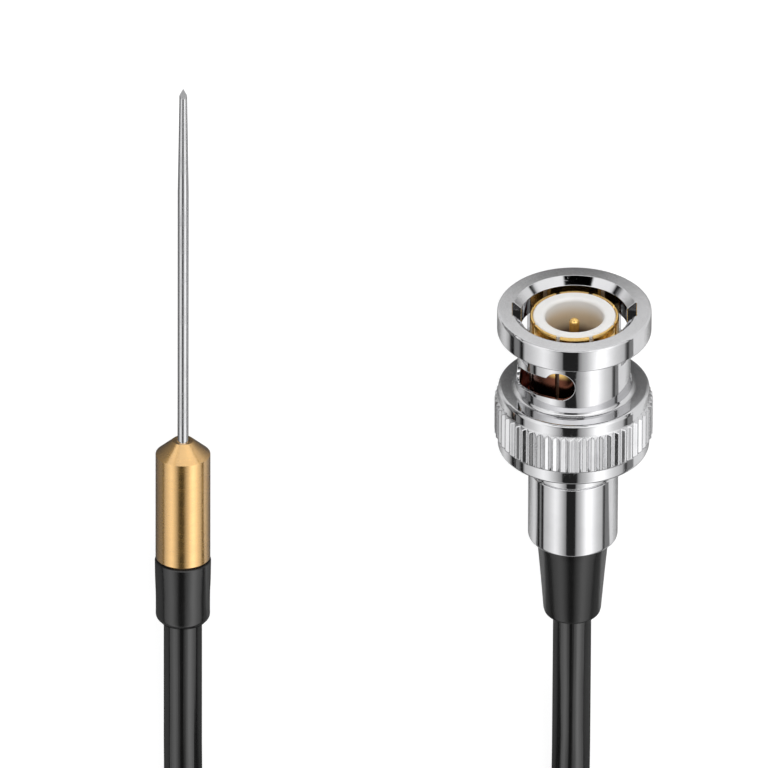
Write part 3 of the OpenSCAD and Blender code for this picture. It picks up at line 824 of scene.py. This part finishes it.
def dust():
    """Lint and dust that settle on faces that look up."""
    group, given, result = new_effect("dust", [("Point", VECTOR), ("Amount", NUMBER)], [("Mask", NUMBER)])
    specks = noise(group, given["Point"], 9.0, 3.0, 0.7)
    plain = group.nodes.new("ShaderNodeNewGeometry")
    up = split(group, plain.outputs["Normal"])[2]
    looks_up = between(group, up, -0.2, 0.9)
    settled = math_node(group, "MULTIPLY", between(group, specks, 0.66, 0.78), looks_up)
    link(group, math_node(group, "MULTIPLY", settled, given["Amount"]), result["Mask"])
    return group


LATHE_LINES = lathe_lines()
HANDLING = handling()
MOULDED_GRAIN = moulded_grain()
SOFT_EDGES = soft_edges()
DUST = dust()


def effect(tree, group, **values):
    """Places an effect in a material and gives its outputs."""
    made = tree.nodes.new("ShaderNodeGroup")
    made.node_tree = group
    for name, value in values.items():
        feed(tree, made.inputs[name.replace("_", " ")], value)
    return made.outputs


# ---------------------------------------------------------------- Finishes

# Each finish is drawn in one of these frames: where its zero is, and how it is turned.
IN_PROBE = (PROBE_END, PROBE_TURN)
IN_PLUG = (PLUG_FACE, PLUG_TURN)
ON_THE_FLOOR = (Vector((0.0, 0.0, 0.0)), (0.0, 0.0, 0.0))


def new_finish(name, **plain):
    """A material with its shader's plain values set, and its node tree."""
    material = bpy.data.materials.new(name)
    material.use_nodes = True
    tree = material.node_tree
    shader = tree.nodes["Principled BSDF"]
    for socket, value in plain.items():
        shader.inputs[socket.replace("_", " ")].default_value = value
    return material, tree, shader.inputs


def millimetres(tree, where):
    """The point on the surface in millimetres, in the frame of the probe, the plug or the floor."""
    place, turn = where
    coordinate = tree.nodes.new("ShaderNodeTexCoord")
    mapping = tree.nodes.new("ShaderNodeMapping")
    mapping.vector_type = "TEXTURE"
    mapping.inputs["Location"].default_value = place * MM
    mapping.inputs["Rotation"].default_value = turn
    mapping.inputs["Scale"].default_value = (MM, MM, MM)
    link(tree, coordinate.outputs["Object"], mapping.inputs[0])
    return mapping.outputs[0]


def within_depths(tree, point, front, rear):
    """A mask for what lies between two depths behind the face of the plug."""
    height = split(tree, point)[2]
    return math_node(tree, "COMPARE", height, -(front + rear) / 2, (rear - front) / 2)


def past_depths(tree, point, front, rear):
    """A mask that comes in softly between two depths behind the face of the plug."""
    depth = math_node(tree, "MULTIPLY", split(tree, point)[2], -1.0)
    return between(tree, depth, front, rear, 0.0, 1.0, True)


# In millimetres, apart from how much rougher a scratch is.
SMUDGE_SIZE = 2.6
SCRATCH_DEPTH = 0.0008
SCRATCH_ROUGHNESS = 0.12


def turned_metal(name, where, bright, dull, rough, lines, line_depth, edge,
                 marks=1.0, blunt=None, deep_shade=None, **plain):
    """Metal from a lathe: tool rings, smudges, hairline scratches and soft bright edges.

    blunt is (front, rear, edge, rough): a stretch that a knurling wheel left rounder and duller.
    The deep shade is (front, rear, colour): painted shade, in which the plating's colour darkens to a dark
    colour between two depths, where a bore lies in shadow.
    """
    material, tree, shader = new_finish(name, Metallic=1.0, **plain)
    point = millimetres(tree, where)
    rings = effect(tree, LATHE_LINES, Point=point, Lines=lines)
    used = effect(tree, HANDLING, Point=point, Smudge_size=SMUDGE_SIZE)
    smudge = math_node(tree, "MULTIPLY", used["Smudge"], marks)
    radius = edge * MM
    if blunt:
        front, rear, blunt_edge, blunt_rough = blunt
        pressed = within_depths(tree, point, front, rear)
        radius = between(tree, pressed, 0.0, 1.0, edge * MM, blunt_edge * MM)
        rough = between(tree, pressed, 0.0, 1.0, rough, blunt_rough)
    edges = effect(tree, SOFT_EDGES, Radius=radius)
    tone = math_node(tree, "MULTIPLY_ADD", smudge, 0.5, math_node(tree, "MULTIPLY", rings["Tone"], 0.5))
    colour = mix_colours(tree, tone, (*bright, 1.0), (*dull, 1.0))
    colour = mix_colours(tree, edges["Edge"], colour, (*bright, 1.0))
    # Painted shade: past the given depths the plating's colour turns dark, as a bore in shadow would look.
    if deep_shade:
        front, rear, shade = deep_shade
        colour = mix_colours(tree, past_depths(tree, point, front, rear), colour, (*shade, 1.0))
    link(tree, colour, shader["Base Color"])
    worn = math_node(tree, "MULTIPLY_ADD", used["Scratch"], SCRATCH_ROUGHNESS * marks, rough)
    smeared = math_node(tree, "MULTIPLY", math_node(tree, "MULTIPLY_ADD", smudge, 0.6, 1.0), worn)
    ringed = math_node(tree, "MULTIPLY", math_node(tree, "MULTIPLY_ADD", rings["Tone"], 0.5, 1.0), smeared)
    link(tree, ringed, shader["Roughness"])
    cut_in = math_node(tree, "MULTIPLY", used["Scratch"], -1.0)
    scratched = bump(tree, cut_in, SCRATCH_DEPTH, edges["Normal"])
    link(tree, bump(tree, rings["Height"], line_depth, scratched), shader["Normal"])
    return material


def stainless_steel():
    return turned_metal(
        "stainless_steel", IN_PROBE, bright=(0.62, 0.62, 0.63), dull=(0.52, 0.52, 0.53),
        rough=0.17, lines=16.0, line_depth=0.0004, edge=0.03)


def satin_brass():
    """Brass under a thin clear lacquer."""
    return turned_metal(
        "satin_brass", IN_PROBE, bright=(0.77, 0.455, 0.14), dull=(0.70, 0.39, 0.105),
        rough=0.20, lines=12.0, line_depth=0.0004, edge=0.05, marks=0.25,
        Coat_Weight=1.0, Coat_IOR=1.9, Coat_Roughness=0.13)


def bright_nickel():
    """Mirror nickel, a little rounder and duller over the knurl."""
    return turned_metal(
        "bright_nickel", IN_PLUG, bright=(0.64, 0.64, 0.65), dull=(0.585, 0.585, 0.595),
        rough=0.045, lines=9.0, line_depth=0.00025, edge=0.09, blunt=(9.3, 13.4, 0.2, 0.12))


def gold_plate():
    """Gold at the mouth of the contact, with painted shade: dark brown further in, where the bore lies in
    shadow.
    """
    return turned_metal(
        "gold_plate", IN_PLUG, bright=(0.92, 0.62, 0.22), dull=(0.84, 0.53, 0.16),
        rough=0.15, lines=14.0, line_depth=0.0006, edge=0.03, deep_shade=(4.6, 5.3, (0.14, 0.05, 0.03)))


def spring_steel():
    return turned_metal(
        "spring_steel", IN_PLUG, bright=(0.55, 0.55, 0.57), dull=(0.42, 0.42, 0.45),
        rough=0.2, lines=8.0, line_depth=0.0012, edge=0.04)


def tinned_copper():
    """Fine braided wires: bare copper with patches of tin."""
    radians_per_mm = 14.0
    material, tree, shader = new_finish("tinned_copper", Metallic=1.0)
    point = millimetres(tree, ON_THE_FLOOR)
    x, y, z = split(tree, point)
    strands = []
    for lean in (1.0, -1.0):
        across = math_node(tree, "MULTIPLY_ADD", y, lean, math_node(tree, "ADD", x, z))
        turns = math_node(tree, "MULTIPLY", across, radians_per_mm)
        strands.append(math_node(tree, "ABSOLUTE", math_node(tree, "SINE", turns)))
    wires = math_node(tree, "MAXIMUM", strands[0], strands[1])
    patches = between(tree, noise(tree, point, 2.2, 3.0), 0.45, 0.6)
    copper, tin = (0.74, 0.43, 0.27, 1.0), (0.70, 0.66, 0.62, 1.0)
    link(tree, mix_colours(tree, patches, copper, tin), shader["Base Color"])
    link(tree, between(tree, patches, 0.0, 1.0, 0.32, 0.22), shader["Roughness"])
    link(tree, bump(tree, wires, 0.04), shader["Normal"])
    return material


LINT = (0.42, 0.41, 0.39, 1.0)
# How much paler a scuffed edge is than the rest.
SCUFF = 1.35


def plastic(name, where, colour, tone, rough, grain, depth,
            lines=0.0, line_depth=0.0, dusty=0.0, edge=0.05, hollow=(), **plain):
    """Moulded or drawn plastic and rubber: skin grain, drawing lines, scuffed edges and a little dust.

    hollow lists (front, rear, colour): painted light down a hollow, a colour for its shade or for what it
    mirrors, that comes in between two depths behind the face.
    """
    material, tree, shader = new_finish(name, **plain)
    point = millimetres(tree, where)
    skin = effect(tree, MOULDED_GRAIN, Point=point, Grain=grain)
    edges = effect(tree, SOFT_EDGES, Radius=edge * MM)
    lint = effect(tree, DUST, Point=point, Amount=dusty)
    base = mix_colours(tree, skin["Tone"], (*colour, 1.0), (*tone, 1.0))
    # Painted light down a hollow: colours that stand in for its shade and for what it mirrors.
    for front, rear, shade in hollow:
        base = mix_colours(tree, past_depths(tree, point, front, rear), base, (*shade, 1.0))
    pale = (*[SCUFF * c for c in tone], 1.0)
    scuffed = mix_colours(tree, math_node(tree, "MULTIPLY", edges["Edge"], 0.5), base, pale)
    link(tree, mix_colours(tree, lint["Mask"], scuffed, LINT), shader["Base Color"])
    shine = math_node(tree, "MULTIPLY_ADD", skin["Tone"], 0.3 * rough, 0.85 * rough)
    link(tree, math_node(tree, "MULTIPLY_ADD", lint["Mask"], 0.3, shine), shader["Roughness"])
    normal = bump(tree, skin["Height"], depth, edges["Normal"])
    if lines:
        drawn = effect(tree, LATHE_LINES, Point=point, Lines=lines)
        normal = bump(tree, drawn["Height"], line_depth, normal)
    link(tree, normal, shader["Normal"])
    return material


BLACK = (0.004, 0.004, 0.004)
WORN_BLACK = (0.007, 0.007, 0.007)


def black_bush():
    return plastic(
        "black_bush", IN_PROBE, colour=(0.02, 0.02, 0.02), tone=(0.03, 0.03, 0.03),
        rough=0.45, grain=14.0, depth=0.004, lines=9.0, line_depth=0.003)


def shrink_sleeve():
    return plastic(
        "shrink_sleeve", IN_PROBE, colour=BLACK, tone=WORN_BLACK,
        rough=0.20, grain=3.0, depth=0.006, dusty=0.15, Specular_IOR_Level=0.75)


def boot_rubber():
    return plastic(
        "boot_rubber", IN_PLUG, colour=BLACK, tone=WORN_BLACK,
        rough=0.22, grain=16.0, depth=0.003, lines=7.0, line_depth=0.002, dusty=0.2, Specular_IOR_Level=0.5)


def dielectric():
    return plastic(
        "dielectric", ON_THE_FLOOR, colour=(0.86, 0.86, 0.84), tone=(0.80, 0.80, 0.77),
        rough=0.5, grain=6.0, depth=0.02)


def white_ptfe():
    """White and waxy at the mouth; down the hollow a painted amber reflection of the gold contact in
    painted shade, and painted dark brown shade at its floor.
    """
    return plastic(
        "white_ptfe", IN_PLUG, colour=(0.90, 0.89, 0.87), tone=(0.86, 0.85, 0.83),
        rough=0.34, grain=12.0, depth=0.002, lines=10.0, line_depth=0.003, edge=0.08,
        hollow=[(0.9, 2.6, (0.80, 0.66, 0.47)), (3.0, 4.4, (0.10, 0.05, 0.03))],
        Subsurface_Weight=0.12, Subsurface_Radius=(0.001, 0.0009, 0.0008))


def silicone():
    return plastic(
        "silicone", IN_PLUG, colour=(0.52, 0.085, 0.045), tone=(0.42, 0.06, 0.03),
        rough=0.5, grain=10.0, depth=0.006, dusty=0.2)


def cable_jacket():
    """Drawn PVC: faint lines along the cable, a fine skin, slow waves in the gloss and a little dust."""
    material, tree, shader = new_finish(
        "cable_jacket", Specular_IOR_Level=0.75, Coat_Weight=0.15, Coat_Roughness=0.08)
    coordinate = tree.nodes.new("ShaderNodeTexCoord")
    point = millimetres(tree, ON_THE_FLOOR)
    skin = effect(tree, MOULDED_GRAIN, Point=point, Grain=11.0)
    lint = effect(tree, DUST, Point=point, Amount=0.25)
    stretched = vector_node(tree, "MULTIPLY", coordinate.outputs["UV"], (5.0, 0.04, 0.0)).outputs[0]
    drawn = noise(tree, stretched, 1.0, 2.0)
    base = mix_colours(tree, skin["Tone"], (*BLACK, 1.0), (*WORN_BLACK, 1.0))
    link(tree, mix_colours(tree, lint["Mask"], base, (0.40, 0.39, 0.37, 1.0)), shader["Base Color"])
    shine = math_node(tree, "MULTIPLY_ADD", drawn, 0.08, 0.12)
    link(tree, math_node(tree, "MULTIPLY_ADD", lint["Mask"], 0.3, shine), shader["Roughness"])
    link(tree, bump(tree, skin["Height"], 0.003, bump(tree, drawn, 0.012)), shader["Normal"])
    return material


def strap_weave():
    """A plain weave of thick yarns on the strap's own map, with fuzz, lint and painted shade between the
    yarns.
    """
    material, tree, shader = new_finish("strap", Sheen_Weight=0.35, Sheen_Roughness=0.5)
    coordinate = tree.nodes.new("ShaderNodeTexCoord")
    across, along = split(tree, coordinate.outputs["UV"])[:2]
    yarns_per_mm = 2.4
    turns = [math_node(tree, "MULTIPLY", way, math.pi * yarns_per_mm) for way in (across, along)]
    over = math_node(tree, "MULTIPLY", math_node(tree, "SINE", turns[0]), math_node(tree, "SINE", turns[1]))
    warp = math_node(tree, "ABSOLUTE", math_node(tree, "SINE", turns[0]))
    weft = math_node(tree, "ABSOLUTE", math_node(tree, "SINE", turns[1]))
    on_top = between(tree, over, -0.12, 0.12, 0.0, 1.0, True)
    height = between(tree, on_top, 0.0, 1.0, warp, weft)
    point = millimetres(tree, ON_THE_FLOOR)
    fuzz = noise(tree, point, 22.0, 3.0, 0.7)
    lint = effect(tree, DUST, Point=point, Amount=0.5)
    # Painted shade: the yarn's colour darkens where the weave lies low between yarns, and the fuzz also
    # varies it at random.
    deep_shade, raised = (0.008, 0.008, 0.009, 1.0), (0.05, 0.05, 0.052, 1.0)
    yarn = mix_colours(tree, math_node(tree, "MULTIPLY", height, fuzz), deep_shade, raised)
    link(tree, mix_colours(tree, lint["Mask"], yarn, (0.35, 0.34, 0.33, 1.0)), shader["Base Color"])
    link(tree, between(tree, fuzz, 0.3, 0.7, 0.65, 0.9), shader["Roughness"])
    link(tree, bump(tree, fuzz, 0.03, bump(tree, height, 0.12)), shader["Normal"])
    return material


FINISHES = {
    "stainless_steel": stainless_steel(),
    "black_bush": black_bush(),
    "satin_brass": satin_brass(),
    "shrink_sleeve": shrink_sleeve(),
    "tinned_copper": tinned_copper(),
    "dielectric": dielectric(),
    "cable_jacket": cable_jacket(),
    "strap": strap_weave(),
    "bright_nickel": bright_nickel(),
    "spring_steel": spring_steel(),
    "gold_plate": gold_plate(),
    "white_ptfe": white_ptfe(),
    "silicone": silicone(),
    "boot_rubber": boot_rubber(),
}
for part in frame["record"]["subparts"]:
    obj = nodes_of_part[part["node"]]
    obj.data.materials.clear()
    obj.data.materials.append(FINISHES[part["material_slot"]])
for piece, slot in ((lead, "cable_jacket"), (sleeve, "shrink_sleeve"), (boot, "boot_rubber"),
                    (gasket, "silicone"), (strap, "strap"), (wave, "spring_steel")):
    piece.data.materials.append(FINISHES[slot])
# The brass would put a yellow stripe down the side of the mirror-bright plug.
nodes_of_part["probe_ferrule"].visible_glossy = False
